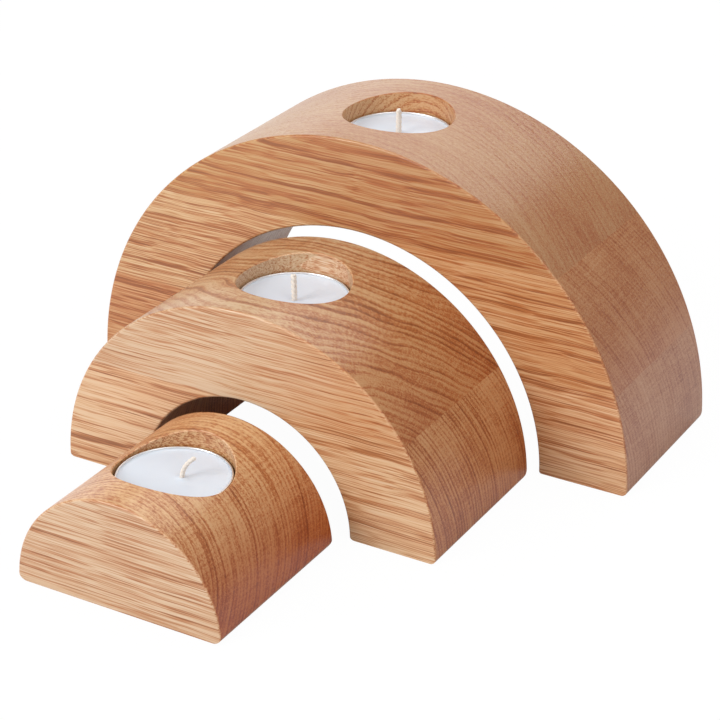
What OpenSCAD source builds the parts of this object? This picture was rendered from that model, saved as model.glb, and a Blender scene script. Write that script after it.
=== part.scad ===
// Candle holder in three pieces that nest like a rainbow: a large arch, a medium arch and a
// small half round block, all sawn from glued oak boards. Each piece has a flat bored recess in
// its crown that takes one tealight.
// Frame: X runs across the arches, -Y is the front, where the small block stands, and +Z is up.
// The origin is on the table, under the middle of the group as it stands pulled apart.

/* [Wooden pieces] */
// Depth of every piece from front to back
piece_depth = 68; // [50:1:90]
// Outer radius of the small block
small_r = 39.5; // [36:0.5:50]
// Free gap all round between a piece and the tunnel that it nests in
nest_gap = 2; // [1.5:0.1:6]
// Wood between the tunnel and the outside of the medium arch
medium_wall = 33; // [28:0.5:45]
// Wood between the tunnel and the outside of the large arch
large_wall = 34; // [28:0.5:50]

/* [Standing distance] */
// Free space between the large and the medium arch, as they stand pulled apart
large_to_medium = 4.5; // [1:0.5:60]
// Free space between the medium arch and the small block, as they stand pulled apart
medium_to_small = 7; // [1:0.5:60]

/* [Glued boards] */
// Thickness of the foot boards of the large arch, up to its lower glue seam
large_foot_board = 37; // [20:1:60]
// Height by which the top of a tunnel reaches above the glue seam under a crown board
seam_drop = 0.6; // [0.3:0.1:4]

/* [Edges] */
// Bevel of the long curved edges of the wood
edge_bevel = 0.6; // [0.3:0.1:3]
// Rounding of the outer bottom edges
foot_round = 1.6; // [0.5:0.1:4]
// Rounding of the bottom edges inside the tunnels
tunnel_foot_round = 1; // [0.3:0.1:3]

/* [Tealight recess] */
// Radius of the bored recess
recess_r = 20; // [19.8:0.1:22]
// Depth of the recess below the crown of an arch
arch_recess_depth = 23.5; // [18:0.5:25]
// Depth of the recess below the crown of the small block
small_recess_depth = 22.3; // [18:0.1:25]

/* [Tealight] */
// Outer radius of the metal cup
cup_r = 19; // [17:0.1:19.2]
// Height of the metal cup
cup_h = 16; // [12:0.5:18]
// Thickness of the sheet metal
cup_wall = 0.3; // [0.2:0.05:0.5]
// Radius of the rolled bead round the rim of the cup
rim_bead_r = 0.35; // [0.25:0.05:0.45]
// Height from the wax up to the top of the rim
wax_drop = 1.1; // [0.5:0.1:4]
// Radius of the hollow curve where the wax climbs the wall
meniscus_r = 0.7; // [0.3:0.1:1.5]

/* [Wicks] */
// Radius of the wicks in the arches
arch_wick_r = 1; // [0.6:0.1:1.5]
// Height of the upright wick of the large arch above its wax
large_wick_rise = 9.5; // [4:0.5:14]
// Radius of the curve of the leaning wick of the medium arch
medium_wick_bend_r = 22; // [15:0.5:40]
// Angle that the medium wick bends through, in degrees
medium_wick_bend = 24; // [5:1:28]
// Direction that the medium wick leans in, in degrees round from +X
medium_wick_heading = 128; // [0:1:359]
// Place of the medium wick across its cup
medium_wick_x = 1.3; // [-4:0.1:4]
// Place of the medium wick along its cup, the front being negative
medium_wick_y = -2; // [-4:0.1:4]
// Radius of the bent wick of the small block
small_wick_r = 0.7; // [0.5:0.1:1.2]
// Radius of the curve that the small wick bends to
small_wick_bend_r = 9.3; // [6:0.1:20]
// Angle that the small wick bends through, in degrees
small_wick_bend = 59; // [20:1:80]
// Direction that the small wick bends to, in degrees round from +X
small_wick_heading = 28; // [0:1:359]
// Place of the small wick across its cup
small_wick_x = 2.2; // [-4:0.1:4]
// Place of the small wick along its cup, the front being negative
small_wick_y = 1.3; // [-4:0.1:4]

/* [Wick clips] */
// Radius of the metal plate under a wick
clip_plate_r = 6.5; // [4:0.1:8]
// Thickness of the metal plate
clip_plate_t = 0.3; // [0.2:0.05:0.5]
// Height of the tube that holds the wick, above its plate
clip_tube_h = 4.5; // [2:0.1:6]
// Thickness of the tube's wall
clip_tube_wall = 0.35; // [0.2:0.05:0.6]
// Space that the poured wax and the clip leave round a wick, and the wax round the clip
cast_gap = 0.04; // [0.02:0.01:0.2]

/* [Hidden] */

// Overrun of the cutting shapes past the faces that they cut
overrun = 1;
// Sides that a full circle is drawn with, on the wood and on small round parts
arch_sides = 180;
cup_sides = 96;
wick_sides = 64;

// Radii, from the small block outwards
medium_tunnel_r = small_r + nest_gap;
medium_r = medium_tunnel_r + medium_wall;
large_tunnel_r = medium_r + nest_gap;
large_r = large_tunnel_r + large_wall;

// Heights of the glue seams
large_lower_seam = large_foot_board;
large_upper_seam = large_tunnel_r - seam_drop;
medium_seam = medium_tunnel_r - seam_drop;

// Places of the middle of each piece along Y
group_depth = 3 * piece_depth + large_to_medium + medium_to_small;
large_y = (group_depth - piece_depth) / 2;
medium_y = large_y - piece_depth - large_to_medium;
small_y = medium_y - piece_depth - medium_to_small;

// Floors of the recesses, where the tealights stand
large_floor_z = large_r - arch_recess_depth;
medium_floor_z = medium_r - arch_recess_depth;
small_floor_z = small_r - small_recess_depth;

// Sizes inside a tealight, up from the floor of its recess
cup_inner_r = cup_r - cup_wall;
wax_top = cup_h - wax_drop;

// Finishes
oak = [0.80, 0.60, 0.41];
pale_oak = [0.84, 0.66, 0.47];
end_oak = [0.66, 0.45, 0.32];
tin = [0.83, 0.84, 0.86];
wax_white = [0.90, 0.92, 0.95];
cotton = [0.93, 0.89, 0.82];

// Outline of a section through the wood, from radius low to radius high. Only an arch, whose
// low radius isn't zero, has bevelled edges on the tunnel side.
module wood_section(low, high) {
    half = piece_depth / 2;
    beside = half - edge_bevel;
    outside = [[high - edge_bevel, -half], [high, -beside], [high, beside], [high - edge_bevel, half]];
    inside = low > 0
        ? [[low + edge_bevel, half], [low, beside], [low, -beside], [low + edge_bevel, -half]]
        : [[0, half], [0, -half]];
    polygon(concat(outside, inside));
}

// Full ring of wood round the Y axis, of which each board is a slice
module wood_ring(low, high) {
    rotate([90, 0, 0])
        rotate_extrude($fn = arch_sides)
            wood_section(low, high);
}

// Sliver that rounds off a bottom edge along Y: reach is how far from the middle the edge lies,
// and side is 1 for the outside of an arch and -1 for the inside of its tunnel. The arc runs out
// a little past the surface of the ring, so that it crosses it and leaves no ledge.
module foot_edge(reach, radius, side) {
    edge_x = side > 0 ? reach : sqrt(pow(reach, 2) - pow(2 * radius, 2));
    centre = edge_x - side * radius;
    rotate([90, 0, 0])
        linear_extrude(height = piece_depth + 2 * overrun, center = true)
            difference() {
                translate([side > 0 ? centre : centre - radius - overrun, -overrun])
                    square([radius + overrun, radius + overrun]);
                translate([centre, radius])
                    circle(r = radius, $fn = cup_sides);
            }
}

// Slice of a ring between two heights. side is -1 for the left half, 1 for the right half and
// 0 for both.
module board(low, high, bottom, top, side) {
    width = high + overrun;
    intersection() {
        wood_ring(low, high);
        translate([side > 0 ? 0 : -width, -piece_depth, bottom])
            cube([side == 0 ? 2 * width : width, 2 * piece_depth, top - bottom]);
    }
}

// Foot board of an arch, with its bottom edges rounded
module foot_board(low, high, top, side) {
    difference() {
        board(low, high, 0, top, side);
        scale([side, 1, 1]) {
            foot_edge(high, foot_round, 1);
            foot_edge(low, tunnel_foot_round, -1);
        }
    }
}

// Flat bottomed bore down through a crown at height top
module recess(top, depth) {
    translate([0, 0, top - depth])
        cylinder(r = recess_r, h = depth + overrun, $fn = cup_sides);
}

// Board at the top of an arch, bored for its tealight
module crown_board(low, high, seam) {
    difference() {
        board(low, high, seam, high + overrun, 0);
        recess(high, arch_recess_depth);
    }
}

module large_crown_board() {
    color(oak)
        translate([0, large_y, 0])
            crown_board(large_tunnel_r, large_r, large_upper_seam);
}

// Both shoulder boards lie between the two glue seams of the large arch
module large_shoulder_board(side) {
    color(oak)
        translate([0, large_y, 0])
            board(large_tunnel_r, large_r, large_lower_seam, large_upper_seam, side);
}

module large_left_shoulder_board() {
    large_shoulder_board(-1);
}

module large_right_shoulder_board() {
    large_shoulder_board(1);
}

module large_foot(side) {
    color(end_oak)
        translate([0, large_y, 0])
            foot_board(large_tunnel_r, large_r, large_lower_seam, side);
}

module large_left_foot_board() {
    large_foot(-1);
}

module large_right_foot_board() {
    large_foot(1);
}

module medium_crown_board() {
    color(pale_oak)
        translate([0, medium_y, 0])
            crown_board(medium_tunnel_r, medium_r, medium_seam);
}

module medium_foot(side) {
    color(end_oak)
        translate([0, medium_y, 0])
            foot_board(medium_tunnel_r, medium_r, medium_seam, side);
}

module medium_left_foot_board() {
    medium_foot(-1);
}

module medium_right_foot_board() {
    medium_foot(1);
}

// The small block is one board and has no tunnel
module small_block() {
    color(pale_oak)
        translate([0, small_y, 0])
            difference() {
                board(0, small_r, 0, small_r + overrun, 0);
                for (side = [-1, 1])
                    scale([side, 1, 1])
                        foot_edge(small_r, foot_round, 1);
                recess(small_r, small_recess_depth);
            }
}

// Drawn metal cup with a rolled rim
module tealight_cup() {
    rotate_extrude($fn = cup_sides) {
        square([cup_r, cup_wall]);
        translate([cup_inner_r, 0])
            square([cup_wall, cup_h - rim_bead_r]);
        translate([cup_r, cup_h - rim_bead_r])
            circle(r = rim_bead_r, $fn = wick_sides);
    }
}

// Wick clip with room for a wick of radius wick_r: its plate stands on the floor of the cup
module tealight_clip(wick_r) {
    tube_r = wick_r + cast_gap + clip_tube_wall;
    translate([0, 0, cup_wall])
        difference() {
            union() {
                cylinder(r = clip_plate_r, h = clip_plate_t, $fn = cup_sides);
                cylinder(r = tube_r, h = clip_plate_t + clip_tube_h, $fn = wick_sides);
            }
            translate([0, 0, -overrun])
                cylinder(r = wick_r + cast_gap, h = clip_tube_h + 2 * overrun, $fn = wick_sides);
        }
}

// Poured wax, with the hollows that the clip and the wick fill
module tealight_wax(wick_r, wick_x, wick_y) {
    tube_r = wick_r + cast_gap + clip_tube_wall;
    difference() {
        rotate_extrude($fn = cup_sides)
            difference() {
                translate([0, cup_wall])
                    square([cup_inner_r - cast_gap, wax_top + meniscus_r - cup_wall]);
                translate([-overrun, wax_top + meniscus_r])
                    square([cup_inner_r - cast_gap - meniscus_r + overrun, overrun]);
                translate([0, wax_top])
                    square([cup_inner_r - cast_gap - meniscus_r, meniscus_r + overrun]);
                translate([cup_inner_r - cast_gap - meniscus_r, wax_top + meniscus_r])
                    circle(r = meniscus_r, $fn = cup_sides);
            }
        translate([wick_x, wick_y, 0]) {
            cylinder(r = wick_r + cast_gap, h = cup_h, $fn = wick_sides);
            cylinder(r = clip_plate_r + cast_gap, h = cup_wall + clip_plate_t + cast_gap,
                $fn = cup_sides);
            cylinder(r = tube_r + cast_gap,
                h = cup_wall + clip_plate_t + clip_tube_h + cast_gap, $fn = wick_sides);
        }
    }
}

// Upright wick, from the floor of the cup to a rise above the top of the wax
module upright_wick(wick_r, rise) {
    translate([0, 0, cup_wall])
        cylinder(r = wick_r, h = wax_top - cup_wall + rise, $fn = wick_sides);
}

// Wick that curls over above the wax towards heading, through the angle bend on radius bend_r
module bent_wick(wick_r, bend_r, bend, heading) {
    upright_wick(wick_r, 0);
    translate([0, 0, wax_top])
        rotate([0, 0, heading])
            translate([bend_r, 0, 0])
                mirror([1, 0, 0])
                    rotate([90, 0, 0])
                        rotate_extrude(angle = bend, $fn = arch_sides)
                            translate([bend_r, 0])
                                circle(r = wick_r, $fn = wick_sides);
}

module in_large() {
    translate([0, large_y, large_floor_z])
        children();
}

module in_medium() {
    translate([0, medium_y, medium_floor_z])
        children();
}

module in_small() {
    translate([0, small_y, small_floor_z])
        children();
}

module large_tealight_cup() {
    color(tin)
        in_large() tealight_cup();
}

module large_tealight_wax() {
    color(wax_white)
        in_large() tealight_wax(arch_wick_r, 0, 0);
}

module large_tealight_wick() {
    color(cotton)
        in_large() upright_wick(arch_wick_r, large_wick_rise);
}

module large_tealight_clip() {
    color(tin)
        in_large() tealight_clip(arch_wick_r);
}

module medium_tealight_cup() {
    color(tin)
        in_medium() tealight_cup();
}

module medium_tealight_wax() {
    color(wax_white)
        in_medium() tealight_wax(arch_wick_r, medium_wick_x, medium_wick_y);
}

module medium_tealight_wick() {
    color(cotton)
        in_medium()
            translate([medium_wick_x, medium_wick_y, 0])
                bent_wick(arch_wick_r, medium_wick_bend_r, medium_wick_bend, medium_wick_heading);
}

module medium_tealight_clip() {
    color(tin)
        in_medium()
            translate([medium_wick_x, medium_wick_y, 0])
                tealight_clip(arch_wick_r);
}

module small_tealight_cup() {
    color(tin)
        in_small() tealight_cup();
}

module small_tealight_wax() {
    color(wax_white)
        in_small() tealight_wax(small_wick_r, small_wick_x, small_wick_y);
}

module small_tealight_wick() {
    color(cotton)
        in_small()
            translate([small_wick_x, small_wick_y, 0])
                bent_wick(small_wick_r, small_wick_bend_r, small_wick_bend, small_wick_heading);
}

module small_tealight_clip() {
    color(tin)
        in_small()
            translate([small_wick_x, small_wick_y, 0])
                tealight_clip(small_wick_r);
}

large_crown_board();
large_left_shoulder_board();
large_right_shoulder_board();
large_left_foot_board();
large_right_foot_board();
medium_crown_board();
medium_left_foot_board();
medium_right_foot_board();
small_block();
large_tealight_cup();
large_tealight_wax();
large_tealight_wick();
large_tealight_clip();
medium_tealight_cup();
medium_tealight_wax();
medium_tealight_wick();
medium_tealight_clip();
small_tealight_cup();
small_tealight_wax();
small_tealight_wick();
small_tealight_clip();
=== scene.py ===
# Nesting candle holder of oiled oak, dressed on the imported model: a large arch, a medium arch and
# a small half round block, each with a tealight in its crown. X runs across the arches, the small
# block stands at the front, towards -Y, and lengths are in metres.

import math

import bmesh
import bpy
from mathutils import Matrix, Vector


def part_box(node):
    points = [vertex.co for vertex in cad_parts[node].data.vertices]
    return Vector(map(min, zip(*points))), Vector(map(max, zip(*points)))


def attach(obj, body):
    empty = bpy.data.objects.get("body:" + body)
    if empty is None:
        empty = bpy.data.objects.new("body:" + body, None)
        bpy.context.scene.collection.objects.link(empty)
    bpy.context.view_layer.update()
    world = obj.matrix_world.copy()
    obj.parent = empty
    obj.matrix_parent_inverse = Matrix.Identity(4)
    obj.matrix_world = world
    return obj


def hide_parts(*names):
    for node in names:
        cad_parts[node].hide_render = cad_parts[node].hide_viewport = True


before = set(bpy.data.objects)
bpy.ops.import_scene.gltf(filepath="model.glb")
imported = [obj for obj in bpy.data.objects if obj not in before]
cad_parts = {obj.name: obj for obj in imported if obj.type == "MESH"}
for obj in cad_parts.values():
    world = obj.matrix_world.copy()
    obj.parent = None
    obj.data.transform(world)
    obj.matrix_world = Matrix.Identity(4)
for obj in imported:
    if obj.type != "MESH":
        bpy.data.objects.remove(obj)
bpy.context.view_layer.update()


# Large arch
# Oiled oak, glued up from five boards with the grain running across the arch: a crown board, two
# shoulder boards and two foot boards. The glued blank was sawn to two half circles and sanded,
# its long edges were eased with a small rounding, and a flat recess was bored into its crown.
MM = 1000  # millimetres in a metre
EDGE_ROUNDING = 0.0008
FOOT_ROUNDING = 0.0022
HEEL_ROUNDING = 0.0055
RIM_BEVEL = 0.0004
BORE_RADIUS = 0.020
RING_STEPS = 480
BORE_STEPS = 160
BOARD_CREASE = math.radians(40)
# Cutters reach this many times the outer radius, and a hair past a face that they would share.
OVERSHOOT = 1.05
HAIR = 0.00002


class Wire:
    """A socket in a node tree. Arithmetic on it adds Math nodes, and node() adds any other node."""

    def __init__(self, tree, socket=None):
        self.tree = tree
        self.socket = socket

    def node(self, kind, inputs=None, output=0, **settings):
        """Adds a node: its settings come first, then the values or wires that go into it."""
        made = self.tree.nodes.new(kind)
        for name, value in settings.items():
            setattr(made, name, value)
        for name, value in (inputs or {}).items():
            for source in value if isinstance(value, list) else [value]:
                if isinstance(source, Wire):
                    self.tree.links.new(source.socket, made.inputs[name])
                else:
                    made.inputs[name].default_value = source
        return Wire(self.tree, made.outputs[output])

    def out(self, name):
        """Another output of the node that this socket belongs to."""
        return Wire(self.tree, self.socket.node.outputs[name])

    def math(self, operation, *others):
        return self.node("ShaderNodeMath", dict(enumerate((self, *others))), operation=operation)

    def clamped(self):
        """This value, kept between 0 and 1."""
        return self.node("ShaderNodeClamp", {"Value": self})

    def vector(self, **axes):
        """A vector from its X, Y and Z. One that is left out is 0."""
        return self.node("ShaderNodeCombineXYZ", axes)

    def split(self):
        """The X, Y and Z of this vector."""
        x = self.node("ShaderNodeSeparateXYZ", {0: self})
        return x, x.out("Y"), x.out("Z")

    def stretched(self, x, y, z):
        """This vector with each of its axes scaled."""
        return self.node("ShaderNodeVectorMath", {0: self, 1: (x, y, z)}, operation="MULTIPLY")

    def place(self):
        """The place on the object itself, in metres."""
        return self.node("ShaderNodeTexCoord").out("Object")

    def noise(self, detail=2.0, roughness=0.5):
        """Cloudy noise from 0 to 1 at the place that this vector gives."""
        return self.node("ShaderNodeTexNoise", {
            "Vector": self, "Scale": 1.0, "Detail": detail, "Roughness": roughness})

    def ramp(self, *stops):
        """The colour that a row of stops, each a place and a colour, gives for this value."""
        made = self.node("ShaderNodeValToRGB", {"Fac": self})
        elements = made.socket.node.color_ramp.elements
        while len(elements) < len(stops):
            elements.new(1)
        for element, (place, colour) in zip(elements, stops):
            element.position = place
            element.color = (*colour, 1)
        return made

    def between(self, first, second):
        """The colour that lies this share of the way from one colour to another."""
        return self.node("ShaderNodeMix", {0: self, 6: (*first, 1), 7: (*second, 1)}, 2,
                         data_type="RGBA", blend_type="MIX")

    def tinted(self, tint, share):
        """This colour multiplied by a tint, as far as the share says."""
        return self.node("ShaderNodeMix", {0: share, 6: self, 7: (*tint, 1)}, 2,
                         data_type="RGBA", blend_type="MULTIPLY")

    def bump(self, strength, distance):
        """A normal that makes this value look like relief."""
        return self.node("ShaderNodeBump", {
            "Height": self, "Strength": strength, "Distance": distance})

    def __abs__(self):
        return self.math("ABSOLUTE")

    def __add__(self, other):
        return self.math("ADD", other)

    def __sub__(self, other):
        return self.math("SUBTRACT", other)

    def __mul__(self, other):
        return self.math("MULTIPLY", other)

    def __truediv__(self, other):
        return self.math("DIVIDE", other)

    def __pow__(self, other):
        return self.math("POWER", other)

    def __gt__(self, other):
        return self.math("GREATER_THAN", other)

    def __rsub__(self, other):
        return self.node("ShaderNodeMath", {0: other, 1: self}, operation="SUBTRACT")

    __radd__ = __add__
    __rmul__ = __mul__


def new_tree(name, numbers):
    """Geometry node group with a part to work on, named numbers and a finish going in."""
    tree = bpy.data.node_groups.new(name, "GeometryNodeTree")
    tree.interface.new_socket("Part", in_out="INPUT", socket_type="NodeSocketGeometry")
    for number in numbers:
        tree.interface.new_socket(number, in_out="INPUT", socket_type="NodeSocketFloat")
    tree.interface.new_socket("Finish", in_out="INPUT", socket_type="NodeSocketMaterial")
    tree.interface.new_socket("Part", in_out="OUTPUT", socket_type="NodeSocketGeometry")
    group_in = tree.nodes.new("NodeGroupInput")
    return tree, {socket.name: Wire(tree, socket) for socket in group_in.outputs if socket.name}


def close_tree(tree, part, finish, crease):
    """Ends a tree: edges sharper than crease stay sharp, and the part gets its finish."""
    angle = part.node("GeometryNodeInputMeshEdgeAngle")
    smooth = part.node("GeometryNodeSetShadeSmooth", {"Geometry": part, "Shade Smooth": True},
                       domain="FACE")
    creased = part.node("GeometryNodeSetShadeSmooth", {
        "Geometry": smooth, "Selection": angle > crease, "Shade Smooth": False}, domain="EDGE")
    real = part.node("GeometryNodeRealizeInstances", {"Geometry": creased})
    done = part.node("GeometryNodeSetMaterial", {"Geometry": real, "Material": finish})
    group_out = tree.nodes.new("NodeGroupOutput")
    tree.links.new(done.socket, group_out.inputs[0])


def board_tree():
    """A ring of wood with eased edges, cut to the outline of one board."""
    tree, size = new_tree("Board sawn from a ring", [
        "Inner Radius", "Outer Radius", "Depth", "Edge Rounding", "Bottom", "Top",
        "Bottom Start", "Top Start", "Inner Foot Rounding", "Outer Foot Rounding", "Heel Rounding",
        "Turn", "Middle"])
    wire = Wire(tree)
    inner, outer, depth = size["Inner Radius"], size["Outer Radius"], size["Depth"]
    bottom, top = size["Bottom"], size["Top"]
    past = outer * OVERSHOOT
    index = wire.node("GeometryNodeInputIndex")

    def only(number):
        """1 at the point with this number, and 0 at all others."""
        return (1 - abs(index - number)).clamped()

    def quad(*corners):
        points = {f"Point {number}": wire.vector(X=x, Y=y)
                  for number, (x, y) in enumerate(corners, 1)}
        return wire.node("GeometryNodeCurvePrimitiveQuadrilateral", points, mode="POINTS")

    def rounded(outline, steps, radius):
        return wire.node("GeometryNodeFilletCurve", {
            "Curve": outline, "Count": steps, "Radius": radius}, mode="POLY")

    def extruded(outline, reach):
        """A solid with this outline that reaches as far up as down."""
        path = wire.node("GeometryNodeCurvePrimitiveLine", {
            "Start": wire.vector(Z=-1 * reach), "End": wire.vector(Z=reach)})
        return wire.node("GeometryNodeCurveToMesh", {
            "Curve": path, "Profile Curve": outline, "Fill Caps": True})

    def shared(*solids):
        """What all of these solids have in common."""
        return wire.node("GeometryNodeMeshBoolean", {"Mesh 2": list(solids)},
                         operation="INTERSECT", solver="EXACT")

    # A solid block has no tunnel, so only the outer edges of its section are eased.
    corner_x = wire.node("GeometryNodeInputPosition").split()[0]
    eased = ((corner_x > 0) + (inner > 0)).clamped() * size["Edge Rounding"]
    section = wire.node("GeometryNodeCurvePrimitiveQuadrilateral", {
        "Width": outer - inner, "Height": depth}, mode="RECTANGLE")
    path = wire.node("GeometryNodeCurvePrimitiveCircle", {
        "Resolution": RING_STEPS, "Radius": (inner + outer) / 2}, mode="RADIUS")
    path = wire.node("GeometryNodeSetCurveNormal", {"Curve": path}, mode="Z_UP")
    ring = wire.node("GeometryNodeCurveToMesh", {
        "Curve": path, "Profile Curve": rounded(section, 6, eased)})
    ring = wire.node("GeometryNodeMergeByDistance", {"Geometry": ring, "Distance": 1e-6})

    # Seen from the front, a foot ends at the outer radius, and every other board reaches past it.
    # With its edges halved the outline has eight points. The last one moves to the tunnel's wall
    # just above the foot, so that the corner of the foot is nearly square before it is rounded.
    end = outer + (bottom > 0) * (past - outer)
    front = quad((size["Bottom Start"], bottom), (end, bottom), (end, top),
                 (size["Top Start"], top))
    front = wire.node("GeometryNodeSubdivideCurve", {"Curve": front, "Cuts": 1})
    above = size["Inner Foot Rounding"] * 3
    front = wire.node("GeometryNodeSetPosition", {
        "Geometry": front, "Selection": index * (above > 0) * (inner > 0) > 6.5,
        "Position": wire.vector(X=(inner * inner - above * above) ** 0.5, Y=above)})
    front = rounded(front, 8, only(0) * size["Inner Foot Rounding"]
                    + only(2) * size["Outer Foot Rounding"])

    # Seen from the side, the outline is a hair larger than the board, so that no two faces lie in
    # one plane, and the corner at the heel is rounded.
    half = depth / 2 + HAIR
    low = bottom - HAIR
    side = quad((-1 * half, low), (half, low), (half, past), (-1 * half, past))
    side = extruded(rounded(side, 10, only(1) * size["Heel Rounding"]), past)
    side = wire.node("GeometryNodeTransform", {
        "Geometry": side, "Rotation": wire.vector(Y=size["Turn"] + math.pi / 2)})

    board = shared(ring, shared(extruded(front, depth), side))
    upright = wire.node("GeometryNodeTransform", {
        "Geometry": board, "Rotation": (math.pi / 2, 0, 0)})
    placed = wire.node("GeometryNodeTransform", {
        "Geometry": upright, "Rotation": wire.vector(Z=size["Turn"]),
        "Translation": wire.vector(Y=size["Middle"])})
    close_tree(tree, placed, size["Finish"], BOARD_CREASE)
    return tree


def recess_tree():
    """A flat bottomed bore down into a crown. The bevel on its rim follows the crown's curve."""
    tree, size = new_tree("Bored recess", [
        "Bore Radius", "Floor", "Rim Bevel", "Outer Radius", "Middle"])
    wire = Wire(tree)
    crown, bevel, floor = size["Outer Radius"], size["Rim Bevel"], size["Floor"]
    # A cutter of radius 1 has four rings of points, at heights -1.5, -0.5, 0.5 and 1.5. They go to
    # the floor, to the lower and the upper edge of the bevel, and high above the crown.
    cutter = wire.node("GeometryNodeMeshCylinder", {
        "Vertices": BORE_STEPS, "Side Segments": 3, "Radius": 1.0, "Depth": 3.0},
        fill_type="NGON")
    x, y, level = wire.node("GeometryNodeInputPosition").split()
    reach = size["Bore Radius"] + (level > 0) * bevel * 2
    crown_z = (crown * crown - (x * reach) ** 2) ** 0.5
    rim = crown_z + (level > 0) * bevel * 2 - bevel
    height = rim + (level > 1) * (crown * 1.1 - rim)
    height = floor + (level > -1) * (height - floor)
    cutter = wire.node("GeometryNodeSetPosition", {
        "Geometry": cutter,
        "Position": wire.vector(X=x * reach, Y=y * reach + size["Middle"], Z=height)})
    bored = wire.node("GeometryNodeMeshBoolean", {"Mesh 1": size["Part"], "Mesh 2": [cutter]},
                      operation="DIFFERENCE", solver="EXACT")
    close_tree(tree, bored, size["Finish"], BOARD_CREASE)
    return tree


def new_piece(name):
    piece = bpy.data.objects.new(name, bpy.data.meshes.new(name))
    bpy.context.scene.collection.objects.link(piece)
    return piece


def add_step(piece, tree, values):
    """Adds a geometry node step to a piece, with each named input set by its identifier."""
    step = piece.modifiers.new(tree.name, "NODES")
    step.node_group = tree
    for item in tree.interface.items_tree:
        if item.in_out == "INPUT" and item.name in values:
            step[item.identifier] = values[item.name]


def finish_piece(piece):
    """Turns what the steps of a piece make into its plain mesh, shaded evenly over the edges."""
    even = piece.modifiers.new("Even shading", "WEIGHTED_NORMAL")
    even.keep_sharp = True
    made = bpy.data.meshes.new_from_object(
        piece.evaluated_get(bpy.context.evaluated_depsgraph_get()))
    piece.modifiers.clear()
    piece.data = made


def new_finish(name):
    """An empty material, and the wire that starts its nodes."""
    finish = bpy.data.materials.new(name)
    finish.use_nodes = True
    finish.node_tree.nodes.clear()
    return finish, Wire(finish.node_tree)


def end_finish(finish, shader):
    out = finish.node_tree.nodes.new("ShaderNodeOutputMaterial")
    finish.node_tree.links.new(shader.socket, out.inputs["Surface"])
    return finish


# A year's growth as places and tones: wide dark pores at first, then dense pale wood.
SEASON = ((0.0, 0.15), (0.10, 1.0), (0.30, 0.80), (0.60, 0.10), (1.0, 0.0))
# The tone of wood without any figure, and how much warmer than a plain mix the middle tones are.
PLAIN_TONE = 0.31
WARMTH = (1.12, 0.93, 0.80)
# The wall of a bore is looked for this near to its axis, in millimetres.
WALL_WITHIN = MM * BORE_RADIUS + 2


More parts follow.
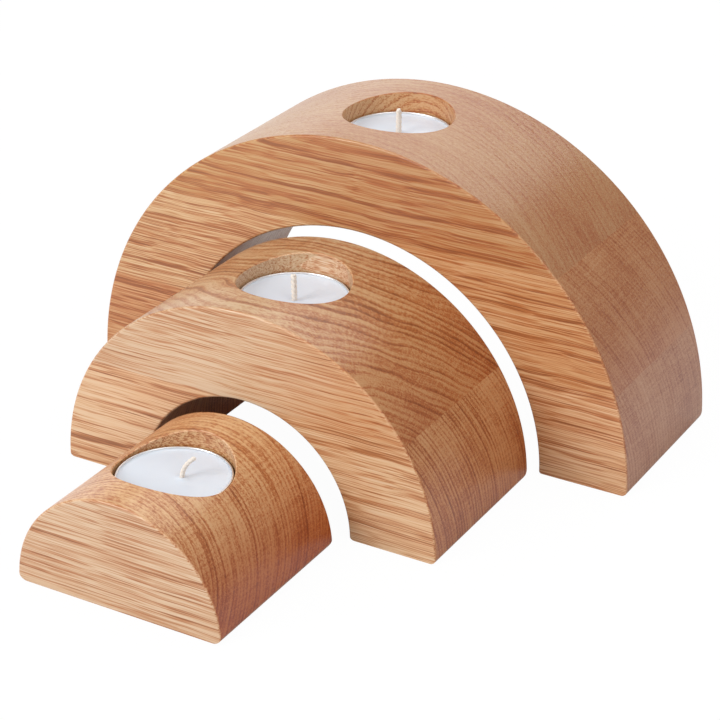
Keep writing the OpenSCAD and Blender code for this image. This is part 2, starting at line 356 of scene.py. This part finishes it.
def oak(name, pith, year, sway, ripple, figure, light, deep, curved_tone_and_shade_tint, end_grain_and_shade_tint,
        slope_tint=None, bore=None):
    """Oiled oak with its grain along X. Sizes are in millimetres.

    pith is where the heart of the tree would lie, as (y, z), and year is the width of a growth
    ring. sway is how far the rings wander slowly along the board, and ripple how far the rings
    and the fibres do so quickly.
    figure is how strongly the rings show, on flat faces and on rounded ones. light is the colour
    of the dense wood and deep that of the pores.
    curved_tone_and_shade_tint colours the rounded faces, partly with the tone of these sawn faces
    and partly with painted shade that darkens tops and sides. end_grain_and_shade_tint colours
    those of them that look along X, partly with darker end grain and partly with painted shade, as
    an end turned from the lamps looks.
    slope_tint is one more tint, and the two places along X between which it grows.
    bore is the y of the axis of a bore, the height of its floor, the share of
    curved_tone_and_shade_tint that its torn wall takes, and how pale the wall is.
    """
    finish, wire = new_finish(name)
    pith_y, pith_z = pith
    flat_figure, curved_figure = figure
    straight = wire.node("ShaderNodeMapping", {
        "Vector": wire.place(), "Location": (0, -pith_y, -pith_z), "Scale": (MM, MM, MM)})
    waves = straight.stretched(0.045, 0.06, 0.06).noise(1).out("Color")
    growth, grain = [
        wire.node("ShaderNodeVectorMath", {0: waves, 1: (0, height, height), 2: straight},
                  operation="MULTIPLY_ADD") for height in ripple]
    x, y, z = growth.split()
    from_pith = (y * y + z * z) ** 0.5
    around = z.math("ARCTAN2", y) * from_pith
    drift = growth.stretched(0.008, 0.025, 0.025).noise(2) - 0.5
    layer = from_pith + drift * sway
    years = layer / year
    season = years.math("FRACT").ramp(*[(place, (tone, tone, tone)) for place, tone in SEASON])
    vigour = wire.node("ShaderNodeTexWhiteNoise", {"W": years.math("FLOOR")},
                       noise_dimensions="1D")
    early = season * (vigour * 0.7 + 0.4)

    # Each pattern is noise, stretched to so many clouds in a millimetre along and across the grain.
    patches = growth.stretched(0.010, 0.04, 0.04).noise(2) - 0.5
    vessels = grain.stretched(0.018, 2.3, 2.3).noise(1)
    pores = ((vessels - 0.62 + early * 0.12) * 7).clamped()
    streaks = grain.stretched(0.009, 1.7, 1.7).noise(3, 0.7) - 0.5
    fibres = grain.stretched(0.025, 2.6, 2.6).noise(1) - 0.5
    specks = grain.stretched(0.7, 2.0, 2.0).noise(2, 0.6) - 0.5
    rays = wire.vector(X=x * 0.2, Y=from_pith * 0.10, Z=around * 1.6).noise(1) - 0.5
    lines = wire.vector(X=x * 0.02, Y=layer * 0.4, Z=around * 0.03).noise(4, 0.75) - 0.5
    along = pores * 0.35 + streaks * 0.9 + fibres * 1.8 + lines * 0.3
    along = along + early * (0.7 + streaks * 2) * flat_figure
    across = specks * 1.3 + rays * 0.45 + (lines * 4 + early) * curved_figure

    normal_x, normal_y, normal_z = wire.node("ShaderNodeNewGeometry").out("Normal").split()
    # Share of the rounded faces: their tint is partly their own tone and partly painted shade.
    curved = 1 - abs(normal_y)
    # Share of the faces along X: their tint is partly darker end grain and partly painted shade.
    sideways = abs(normal_x) ** 3
    if bore is not None:
        axis, floor, share, paleness = bore
        from_axis = y + (pith_y - axis)
        near = 1 - ((x * x + from_axis * from_axis) ** 0.5 > WALL_WITHIN)
        torn = near * (z > floor - pith_z) * (1 - abs(normal_z) > 0.9)
        curved = curved + torn * (share - curved)
        sideways = sideways * (1 - torn)
        rough = specks * 2.0 + streaks * 1.8 + early * flat_figure * 0.7 - paleness
        along = along + torn * (rough - along)
        across = across + torn * (rough - across)

    shade = patches * 0.6 + along + curved * (across - along)
    pale = [channel ** 0.8 for channel in light]
    warm = [math.sqrt(a * b) * warmth for a, b, warmth in zip(light, deep, WARMTH)]
    colour = (shade + PLAIN_TONE).ramp((0.0, pale), (0.25, light), (0.62, warm), (1.0, deep))
    colour = colour.tinted(curved_tone_and_shade_tint, curved).tinted(end_grain_and_shade_tint, sideways)
    if slope_tint is not None:
        tint, start, end = slope_tint
        colour = colour.tinted(tint, ((x - start) / (end - start)).clamped())
    relief = (fibres * 0.3 - pores * 0.6).bump(0.35, 0.0002)
    shader = wire.node("ShaderNodeBsdfPrincipled", {
        "Base Color": colour, "Roughness": 0.30 + pores * 0.15, "Normal": relief})
    return end_finish(finish, shader)


sawn_board = board_tree()
bored_recess = recess_tree()


def tunnel_radius(right_foot):
    """Radius of a tunnel, from the box of the foot board on its right."""
    low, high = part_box(right_foot)
    return math.hypot(low.x, high.z)


def wood_sizes(crown, cup, inner_radius, inner_rounding, outer_rounding):
    """Sizes that all boards of a wooden piece share, from the boxes of its crown and of the cup
    that stands on the floor of its recess. The roundings are those of its feet, towards the
    tunnel and outside."""
    low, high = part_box(crown)
    return {
        "Inner Radius": inner_radius, "Outer Radius": high.z, "Depth": high.y - low.y,
        "Middle": (low.y + high.y) / 2, "Floor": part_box(cup)[0].z, "Bore Radius": BORE_RADIUS,
        "Rim Bevel": RIM_BEVEL, "Edge Rounding": EDGE_ROUNDING,
        "Inner Foot Rounding": inner_rounding, "Outer Foot Rounding": outer_rounding,
        "Heel Rounding": HEEL_ROUNDING}


def bore_wall(wood, share, paleness):
    """What oak() has to know about the bore in a wooden piece."""
    return MM * wood["Middle"], MM * wood["Floor"], share, paleness


def make_board(node, body, wood, finish, bored=False):
    """The piece that stands for one board, cut between the heights of its CAD node."""
    low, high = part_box(node)
    inner, outer = wood["Inner Radius"], wood["Outer Radius"]
    past = outer * OVERSHOOT
    reaches_crown = high.z > outer - EDGE_ROUNDING
    top = past if reaches_crown else high.z
    is_foot = low.z < EDGE_ROUNDING
    # A board across the whole piece starts at its left end, or beyond where the round side cuts
    # it off. A foot board starts at the tunnel's wall, and a shoulder board in the middle.
    if low.x < 0 < high.x:
        starts = (-outer, -outer) if is_foot else (-past, -past)
    else:
        starts = (inner, math.sqrt(inner ** 2 - top ** 2)) if is_foot else (0.0, 0.0)
    sizes = {
        **wood, "Bottom": 0.0 if is_foot else low.z, "Top": top,
        "Bottom Start": starts[0], "Top Start": starts[1],
        "Turn": math.pi if high.x <= 0 else 0.0, "Finish": finish}
    if not is_foot:
        sizes.update({
            "Inner Foot Rounding": 0.0, "Outer Foot Rounding": 0.0, "Heel Rounding": 0.0})
    piece = new_piece(node + "_oak")
    add_step(piece, sawn_board, sizes)
    if bored:
        add_step(piece, bored_recess, sizes)
    finish_piece(piece)
    "oak_" + node.split("_")[0]
    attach(piece, body)
    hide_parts(node)


HONEY = (0.745, 0.485, 0.255)
RED_HONEY = (0.665, 0.34, 0.15)
ORANGE_HONEY = (0.635, 0.37, 0.158)
ORANGE_BROWN = (0.35, 0.13, 0.047)
RED_BROWN = (0.29, 0.095, 0.03)
# Tints of the large arch's rounded faces and ends: partly the wood's own tone, partly painted
# shade.
LARGE_CURVED_TONE_AND_SHADE = (0.705, 0.645, 0.57)
LARGE_END_GRAIN_AND_SHADE = (1.0, 0.84, 0.90)

large = wood_sizes("large_crown_board", "large_tealight_cup",
                   tunnel_radius("large_right_foot_board"),
                   inner_rounding=0.0014, outer_rounding=FOOT_ROUNDING)
make_board("large_crown_board", "large_arch", large, oak(
    "oak_large_crown", pith=(260, -20), year=2.4, sway=8, ripple=(1.6, 1.6), figure=(0.85, 0.2),
    light=ORANGE_HONEY, deep=ORANGE_BROWN, curved_tone_and_shade_tint=(0.765, 0.77, 0.76), end_grain_and_shade_tint=LARGE_END_GRAIN_AND_SHADE,
    slope_tint=((0.873, 0.746, 0.72), -70, 10),
    bore=bore_wall(large, share=0.0, paleness=0.27)), bored=True)
make_board("large_right_shoulder_board", "large_arch", large, oak(
    "oak_large_right_shoulder", pith=(-140, -30), year=1.9, sway=5, ripple=(1.5, 1.5),
    figure=(0.6, 0.22), light=RED_HONEY, deep=RED_BROWN, curved_tone_and_shade_tint=LARGE_CURVED_TONE_AND_SHADE,
    end_grain_and_shade_tint=LARGE_END_GRAIN_AND_SHADE))
make_board("large_left_shoulder_board", "large_arch", large, oak(
    "oak_large_left_shoulder", pith=(-120, -50), year=2.0, sway=5, ripple=(1.5, 1.5),
    figure=(0.35, 0.22), light=HONEY, deep=RED_BROWN, curved_tone_and_shade_tint=(0.66, 0.575, 0.49),
    end_grain_and_shade_tint=LARGE_END_GRAIN_AND_SHADE))
make_board("large_right_foot_board", "large_arch", large, oak(
    "oak_large_right_foot", pith=(-120, -20), year=2.2, sway=3, ripple=(1, 1), figure=(0.3, 0.2),
    light=(0.765, 0.435, 0.225), deep=RED_BROWN, curved_tone_and_shade_tint=(0.63, 0.58, 0.51),
    end_grain_and_shade_tint=LARGE_END_GRAIN_AND_SHADE))
make_board("large_left_foot_board", "large_arch", large, oak(
    "oak_large_left_foot", pith=(-100, -30), year=2.2, sway=3, ripple=(1, 1), figure=(0.5, 0.3),
    light=RED_HONEY, deep=RED_BROWN, curved_tone_and_shade_tint=LARGE_CURVED_TONE_AND_SHADE, end_grain_and_shade_tint=LARGE_END_GRAIN_AND_SHADE))


# Medium arch
# Three boards of the same oak in a paler piece: one crown board over two foot boards. It is sawn
# and sanded as the large arch is, and it slides into that arch's tunnel.
WARM_HONEY = (0.79, 0.505, 0.285)
BROWN = (0.30, 0.11, 0.04)
# Tint of the medium feet's ends: partly darker end grain, partly painted shade.
MEDIUM_FOOT_END_GRAIN_AND_SHADE = (0.91, 0.60, 0.44)

medium = wood_sizes("medium_crown_board", "medium_tealight_cup",
                    tunnel_radius("medium_right_foot_board"),
                    inner_rounding=FOOT_ROUNDING, outer_rounding=FOOT_ROUNDING)
make_board("medium_crown_board", "medium_arch", medium, oak(
    "oak_medium_crown", pith=(-92, -62), year=2.2, sway=5, ripple=(4.0, 1.2), figure=(0.25, 0.5),
    light=(0.72, 0.487, 0.30), deep=(0.34, 0.135, 0.053), curved_tone_and_shade_tint=(0.735, 0.68, 0.563),
    end_grain_and_shade_tint=(0.93, 0.61, 0.44), slope_tint=((0.97, 0.795, 0.65), 0, 40),
    bore=bore_wall(medium, share=0.65, paleness=0.14)), bored=True)
make_board("medium_right_foot_board", "medium_arch", medium, oak(
    "oak_medium_right_foot", pith=(-150, -10), year=1.8, sway=3, ripple=(1, 1), figure=(0.4, 0.4),
    light=WARM_HONEY, deep=BROWN, curved_tone_and_shade_tint=(0.75, 0.68, 0.56), end_grain_and_shade_tint=MEDIUM_FOOT_END_GRAIN_AND_SHADE))
make_board("medium_left_foot_board", "medium_arch", medium, oak(
    "oak_medium_left_foot", pith=(-140, -20), year=1.8, sway=3, ripple=(1, 1), figure=(0.4, 0.4),
    light=WARM_HONEY, deep=BROWN, curved_tone_and_shade_tint=(0.66, 0.60, 0.49), end_grain_and_shade_tint=MEDIUM_FOOT_END_GRAIN_AND_SHADE))


# Small block
# One piece of oak, a solid half round that slides into the medium arch. Its growth rings stand
# on end, side by side from front to back.
BLOCK_FOOT_ROUNDING = 0.0034

small = wood_sizes("small_block", "small_tealight_cup", inner_radius=0.0,
                   inner_rounding=BLOCK_FOOT_ROUNDING, outer_rounding=BLOCK_FOOT_ROUNDING)
# The deep red of the block's ends is partly end grain and partly painted shade on both ends.
make_board("small_block", "small_half_round", small, oak(
    "oak_small_block", pith=(-280, 130), year=1.8, sway=5, ripple=(1, 1), figure=(0.2, 0.38),
    light=(0.748, 0.497, 0.308), deep=BROWN, curved_tone_and_shade_tint=(0.85, 0.74, 0.56),
    end_grain_and_shade_tint=(0.73, 0.30, 0.115), bore=bore_wall(small, share=1.0, paleness=0.0)), bored=True)


# Tealight cups
# Thin aluminium, drawn into a cup of standard size. The sheet puckers into small flutes below the
# rim, which is rolled outwards into a bead.
SIZES = ("large", "medium", "small")
CUP_RADIUS = 0.019
CUP_HEIGHT = 0.016
CUP_SHEET = 0.0003
CUP_TAPER = 0.0001
CUP_BOTTOM_ROUNDING = 0.0012
CUP_BOTTOM_DISH = 0.0004
BEAD = 0.00035
FLUTES = 60
FLUTE_DEPTH = 0.00007
FLUTE_START = 0.004
FLUTE_FADE = 0.008
ROUND_STEPS = 240


def underside(node):
    """The middle of the underside of a CAD node."""
    low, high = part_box(node)
    return Vector(((low.x + high.x) / 2, (low.y + high.y) / 2, low.z))


def arc(across, up, radius, start, end, steps):
    """Points on a circle round (across, up), from one angle in degrees to another."""
    angles = [math.radians(start + (end - start) * step / steps) for step in range(steps + 1)]
    return [(across + radius * math.cos(a), up + radius * math.sin(a)) for a in angles]


def turned(name, outline, shape):
    """A closed solid turned about a vertical axis from an outline of (radius, height) points that
    starts and ends on the axis. shape moves each point off the axis, given its angle."""
    piece = new_piece(name)
    mesh = bmesh.new()
    rings = []
    for radius, height in outline:
        if radius == 0:
            rings.append([mesh.verts.new((0, 0, height))])
            continue
        ring = []
        for step in range(ROUND_STEPS):
            angle = 2 * math.pi * step / ROUND_STEPS
            r, z = shape(radius, height, angle)
            ring.append(mesh.verts.new((r * math.cos(angle), r * math.sin(angle), z)))
        rings.append(ring)
    for lower, upper in zip(rings, rings[1:]):
        for step in range(ROUND_STEPS):
            after = (step + 1) % ROUND_STEPS
            if len(lower) == 1:
                mesh.faces.new((lower[0], upper[after], upper[step]))
            elif len(upper) == 1:
                mesh.faces.new((lower[step], lower[after], upper[0]))
            else:
                mesh.faces.new((lower[step], lower[after], upper[after], upper[step]))
    for face in mesh.faces:
        face.smooth = True
    bmesh.ops.recalc_face_normals(mesh, faces=mesh.faces)
    mesh.to_mesh(piece.data)
    mesh.free()
    return piece


def drawn_aluminium():
    """Bright drawn sheet, with faint lines where the die dragged along it."""
    finish, wire = new_finish("cup_aluminium")
    lines = wire.place().stretched(3000, 3000, 60).noise(2)
    shader = wire.node("ShaderNodeBsdfPrincipled", {
        "Base Color": (0.88, 0.89, 0.90, 1), "Metallic": 1.0,
        "Roughness": 0.34 + lines * 0.12, "Normal": lines.bump(0.15, 0.00005)})
    return end_finish(finish, shader)


def fluted(radius, height, angle):
    """Flutes that deepen on their way up the wall. The inside and the bead stay round."""
    share = max(0.0, min(1.0, (height - FLUTE_START) / FLUTE_FADE))
    if radius < CUP_RADIUS - 2 * CUP_SHEET or height > CUP_HEIGHT - 3 * BEAD:
        share = 0.0
    return radius + FLUTE_DEPTH * share * math.cos(FLUTES * angle), height


cup_finish = drawn_aluminium()
bead_z = CUP_HEIGHT - BEAD
inside = CUP_RADIUS - CUP_SHEET
# From the middle of the bottom outwards, up the wall, round the bead and back down the inside
cup_outline = [
    (0, CUP_BOTTOM_DISH), (0.011, CUP_BOTTOM_DISH), (0.012, 0.0),
    *arc(CUP_RADIUS - 2 * CUP_TAPER - CUP_BOTTOM_ROUNDING, CUP_BOTTOM_ROUNDING,
         CUP_BOTTOM_ROUNDING, -90, 0, 6),
    *[(CUP_RADIUS - CUP_TAPER, millimetre / MM) for millimetre in range(2, 15)],
    *arc(CUP_RADIUS, bead_z, BEAD, -90, 135, 14),
    (inside, bead_z), (inside, 0.0015), (inside - 0.0008, CUP_SHEET),
    (0, CUP_SHEET + CUP_BOTTOM_DISH)]
for size_name in SIZES:
    node = size_name + "_tealight_cup"
    cup = turned(node + "_drawn", cup_outline, fluted)
    cup.data.transform(Matrix.Translation(underside(node)))
    cup.data.materials.append(cup_finish)
    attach(cup, size_name + "_tealight")
    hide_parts(node)


# Wick clips
# A small plate of tinned steel with a tube that holds the wick, sunk in the wax. The solids of
# the model show them as they are.
def tinned_steel():
    finish, wire = new_finish("clip_steel")
    bloom = wire.place().stretched(900, 900, 900).noise(3)
    shader = wire.node("ShaderNodeBsdfPrincipled", {
        "Base Color": (0.62, 0.62, 0.63, 1), "Metallic": 1.0, "Roughness": 0.28 + bloom * 0.2})
    return end_finish(finish, shader)


clip_finish = tinned_steel()
for size_name in SIZES:
    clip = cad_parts[size_name + "_tealight_clip"]
    clip.data.materials.clear()
    clip.data.materials.append(clip_finish)


# Wax
# White paraffin, poured round the wick. It sank a little as it set, and it climbs the wall of the
# cup and the wick.
WAX_GAP = 0.00004
WAX_BOTTOM = CUP_SHEET + 0.0005
WAX_DROP = 0.0011
WALL_CLIMB = 0.0006
WALL_REACH = 0.0006
WICK_CLIMB = 0.0004
WICK_REACH = 0.0009
WICK_EDGE = 0.001


def paraffin():
    """Milky wax with a soft shine, faintly mottled."""
    finish, wire = new_finish("candle_wax")
    place = wire.place()
    mottle = place.stretched(160, 160, 160).noise(3)
    relief = place.stretched(220, 220, 220).noise(2).bump(0.2, 0.0003)
    shader = wire.node("ShaderNodeBsdfPrincipled", {
        "Base Color": mottle.between((0.665, 0.715, 0.79), (0.70, 0.755, 0.825)),
        "Roughness": 0.28 + mottle * 0.1, "Normal": relief,
        "Subsurface Weight": 0.35, "Subsurface Radius": (1.0, 0.9, 0.8), "Subsurface Scale": 0.002})
    return end_finish(finish, shader)


wax_finish = paraffin()
wax_radius = inside - WAX_GAP
wax_top = CUP_HEIGHT - WAX_DROP
# The rings of points on top stand closer together near the wall, where the wax climbs.
top_radii = [0.0004 * step for step in range(1, 40)]
top_radii += [wax_radius - 0.0024 + 0.0002 * step for step in range(12)]
# From the middle of the underside outwards, up the wall and back to the middle of the top
wax_outline = [
    (0, WAX_BOTTOM), (wax_radius - 0.001, WAX_BOTTOM), (wax_radius, 0.0018),
    (wax_radius, wax_top - 0.0002), (wax_radius, wax_top),
    *[(radius, wax_top) for radius in reversed(top_radii)], (0, wax_top)]
for size_name in SIZES:
    node = size_name + "_tealight_wax"
    centre = underside(node) - Vector((0, 0, CUP_SHEET))
    wick_at = underside(size_name + "_tealight_clip") - centre

    def climbing(radius, height, angle):
        if height < wax_top:
            return radius, height
        x, y = radius * math.cos(angle), radius * math.sin(angle)
        away = math.hypot(x - wick_at.x, y - wick_at.y)
        wall = WALL_CLIMB * math.exp(-(wax_radius - radius) / WALL_REACH)
        wick = WICK_CLIMB * math.exp(-max(0.0, away - WICK_EDGE) / WICK_REACH)
        return radius, height + wall + wick

    wax = turned(node + "_poured", wax_outline, climbing)
    wax.data.transform(Matrix.Translation(centre))
    wax.data.materials.append(wax_finish)
    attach(wax, size_name + "_tealight")
    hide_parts(node)


# Wicks
# Three cotton strands, braided and stiffened with wax. The large arch's wick stands up straight,
# the medium one leans to the back left, and the small one is thinner and curls to the right.
BEND_STEPS = 24
STRAND_CREASE = math.radians(60)
# Above the wax a wick has a straight rise, or a bend with a radius, an angle and a heading.
WICKS = {
    "large": {"radius": 0.00115, "rise": 0.0090},
    "medium": {"radius": 0.00110, "bend": (0.022, 24, 128)},
    "small": {"radius": 0.00090, "bend": (0.0084, 61, 28)}}


def braid_tree():
    """Three strands that cross over each other along a path."""
    tree, size = new_tree("Braided wick", [
        "Strand Radius", "Braid Half Width", "Braid Half Thickness", "Plait Length"])
    wire = Wire(tree)
    path = wire.node("GeometryNodeMeshToCurve", {"Mesh": size["Part"]})
    path = wire.node("GeometryNodeResampleCurve", {
        "Curve": path, "Length": size["Strand Radius"] * 0.5}, mode="LENGTH")
    length = wire.node("GeometryNodeSplineParameter", output=1)
    normal = wire.node("GeometryNodeInputNormal")
    tangent = wire.node("GeometryNodeInputTangent")
    beside = wire.node("ShaderNodeVectorMath", {0: normal, 1: tangent}, operation="CROSS_PRODUCT")
    ring = wire.node("GeometryNodeCurvePrimitiveCircle", {
        "Resolution": 10, "Radius": size["Strand Radius"]}, mode="RADIUS")
    strands = []
    for strand in range(3):
        turn = length / size["Plait Length"] * (2 * math.pi) + strand * 2 * math.pi / 3
        sideways = wire.node("ShaderNodeVectorMath", {
            0: beside, "Scale": turn.math("SINE") * size["Braid Half Width"]}, operation="SCALE")
        outwards = wire.node("ShaderNodeVectorMath", {
            0: normal, "Scale": (turn * 2).math("SINE") * size["Braid Half Thickness"]},
            operation="SCALE")
        offset = wire.node("ShaderNodeVectorMath", {0: sideways, 1: outwards}, operation="ADD")
        laid = wire.node("GeometryNodeSetPosition", {"Geometry": path, "Offset": offset})
        strands.append(wire.node("GeometryNodeCurveToMesh", {
            "Curve": laid, "Profile Curve": ring, "Fill Caps": True}))
    braid = wire.node("GeometryNodeJoinGeometry", {"Geometry": strands})
    close_tree(tree, braid, size["Finish"], STRAND_CREASE)
    return tree


def waxed_cotton():
    finish, wire = new_finish("cotton_wick")
    threads = wire.place().stretched(2500, 2500, 2500).noise(2)
    colour = (threads - 0.40).clamped().between((0.85, 0.78, 0.70), (0.72, 0.60, 0.48))
    shader = wire.node("ShaderNodeBsdfPrincipled", {
        "Base Color": colour, "Roughness": 0.6, "Normal": threads.bump(0.2, 0.0001)})
    return end_finish(finish, shader)


def bent(start, radius, bend, heading):
    """Points on an arc that leaves start upwards and bends towards a heading, in degrees."""
    heading = math.radians(heading)
    points = []
    for step in range(1, BEND_STEPS + 1):
        angle = math.radians(bend) * step / BEND_STEPS
        out = radius * (1 - math.cos(angle))
        points.append(start + Vector((
            out * math.cos(heading), out * math.sin(heading), radius * math.sin(angle))))
    return points


braided_wick = braid_tree()
wick_finish = waxed_cotton()
for size_name, wick in WICKS.items():
    node = size_name + "_tealight_wick"
    foot = underside(size_name + "_tealight_clip")
    surface = foot + Vector((0, 0, wax_top - CUP_SHEET))
    points = [foot, surface]
    if "bend" in wick:
        points += bent(surface, *wick["bend"])
    else:
        points.append(surface + Vector((0, 0, wick["rise"])))
    piece = new_piece(node + "_braid")
    piece.data.from_pydata(points, [(i, i + 1) for i in range(len(points) - 1)], [])
    radius = wick["radius"]
    # Shares of the radius that let the three strands fill the width of the wick
    add_step(piece, braided_wick, {
        "Strand Radius": radius * 0.58, "Braid Half Width": radius * 0.42,
        "Braid Half Thickness": radius * 0.28, "Plait Length": radius * 4.5,
        "Finish": wick_finish})
    finish_piece(piece)
    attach(piece, size_name + "_tealight")
    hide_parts(node)


# Studio
# A plain white floor and white surroundings. A wide soft lamp lights the front from the left, a
# large screen stands low at the back left, and weaker lamps hang above, behind and at the right.
# The camera stands where the photograph was taken.
WHITE = (1, 1, 1, 1)
FLOOR_REACH = 6
SURROUND_LIGHT = 0.38
LAMP_AIM = Vector((0, 0, 0.05))


def white_floor():
    """White where it is seen, with a faint shadow, and a plain pale floor to all other light."""
    finish, wire = new_finish("studio_floor")
    seen = wire.node("ShaderNodeLightPath")
    mirrored = (seen.out("Is Glossy Ray") + seen.out("Is Transmission Ray")).clamped()
    plain = wire.node("ShaderNodeBsdfDiffuse", {"Color": (0.45, 0.45, 0.45, 1)})
    white = wire.node("ShaderNodeBsdfDiffuse", {"Color": WHITE})
    glow = wire.node("ShaderNodeEmission", {"Color": WHITE, "Strength": 1.0})
    unseen = wire.node("ShaderNodeMixShader", {0: mirrored, 1: plain, 2: white})
    shown = wire.node("ShaderNodeMixShader", {0: 0.97, 1: white, 2: glow})
    return end_finish(finish, wire.node("ShaderNodeMixShader", {0: seen, 1: unseen, 2: shown}))


floor = new_piece("studio_floor")
floor.data.from_pydata(
    [(x * FLOOR_REACH, y * FLOOR_REACH, 0) for x, y in ((-1, -1), (1, -1), (1, 1), (-1, 1))],
    [], [(0, 1, 2, 3)])
floor.data.materials.append(white_floor())

world = bpy.data.worlds.new("studio")
bpy.context.scene.world = world
world.use_nodes = True
world.node_tree.nodes.clear()
wire = Wire(world.node_tree)
seen = wire.node("ShaderNodeLightPath")
soft_light = wire.node("ShaderNodeBackground", {"Color": WHITE, "Strength": SURROUND_LIGHT})
backdrop = wire.node("ShaderNodeBackground", {"Color": WHITE, "Strength": 1.0})
sky = wire.node("ShaderNodeMixShader", {0: seen, 1: soft_light, 2: backdrop})
world_out = world.node_tree.nodes.new("ShaderNodeOutputWorld")
world.node_tree.links.new(sky.socket, world_out.inputs["Surface"])


def soft_lamp(name, place, width, height, power):
    lamp = bpy.data.lights.new(name, "AREA")
    lamp.shape = "RECTANGLE"
    lamp.size = width
    lamp.size_y = height
    lamp.energy = power
    holder = bpy.data.objects.new(name, lamp)
    holder.location = place
    holder.rotation_euler = (LAMP_AIM - Vector(place)).to_track_quat("-Z", "Y").to_euler()
    bpy.context.scene.collection.objects.link(holder)


soft_lamp("front_left_lamp", (-0.9, -1.65, 1.1), 1.05, 1.05, 29)
soft_lamp("top_lamp", (-0.1, 0.1, 1.3), 0.8, 0.8, 5)
soft_lamp("back_lamp", (-0.2, 1.3, 1.2), 1.2, 0.8, 6)
soft_lamp("back_left_screen", (-1.5, 1.9, 0.6), 2.2, 1.1, 9)
soft_lamp("right_lamp", (1.1, -0.5, 1.1), 0.8, 0.8, 6)

YAW = math.radians(30.14)
PITCH = math.radians(26.77)
DISTANCE = 0.8861
AIM = Vector((-0.0225, 0.0848, 0.0))
PIXEL_FOCAL_LENGTH = 2283.3
PHOTO_WIDTH = 720
camera = bpy.data.cameras.new("camera")
camera.sensor_width = 36
camera.lens = PIXEL_FOCAL_LENGTH / PHOTO_WIDTH * camera.sensor_width
camera.clip_start = 0.05
viewer = bpy.data.objects.new("camera", camera)
view = Vector((-math.sin(YAW) * math.cos(PITCH), math.cos(YAW) * math.cos(PITCH), -math.sin(PITCH)))
viewer.location = AIM - view * DISTANCE
viewer.rotation_euler = (math.pi / 2 - PITCH, 0, YAW)
bpy.context.scene.collection.objects.link(viewer)
bpy.context.scene.camera = viewer
bpy.context.scene.view_settings.view_transform = "Standard"
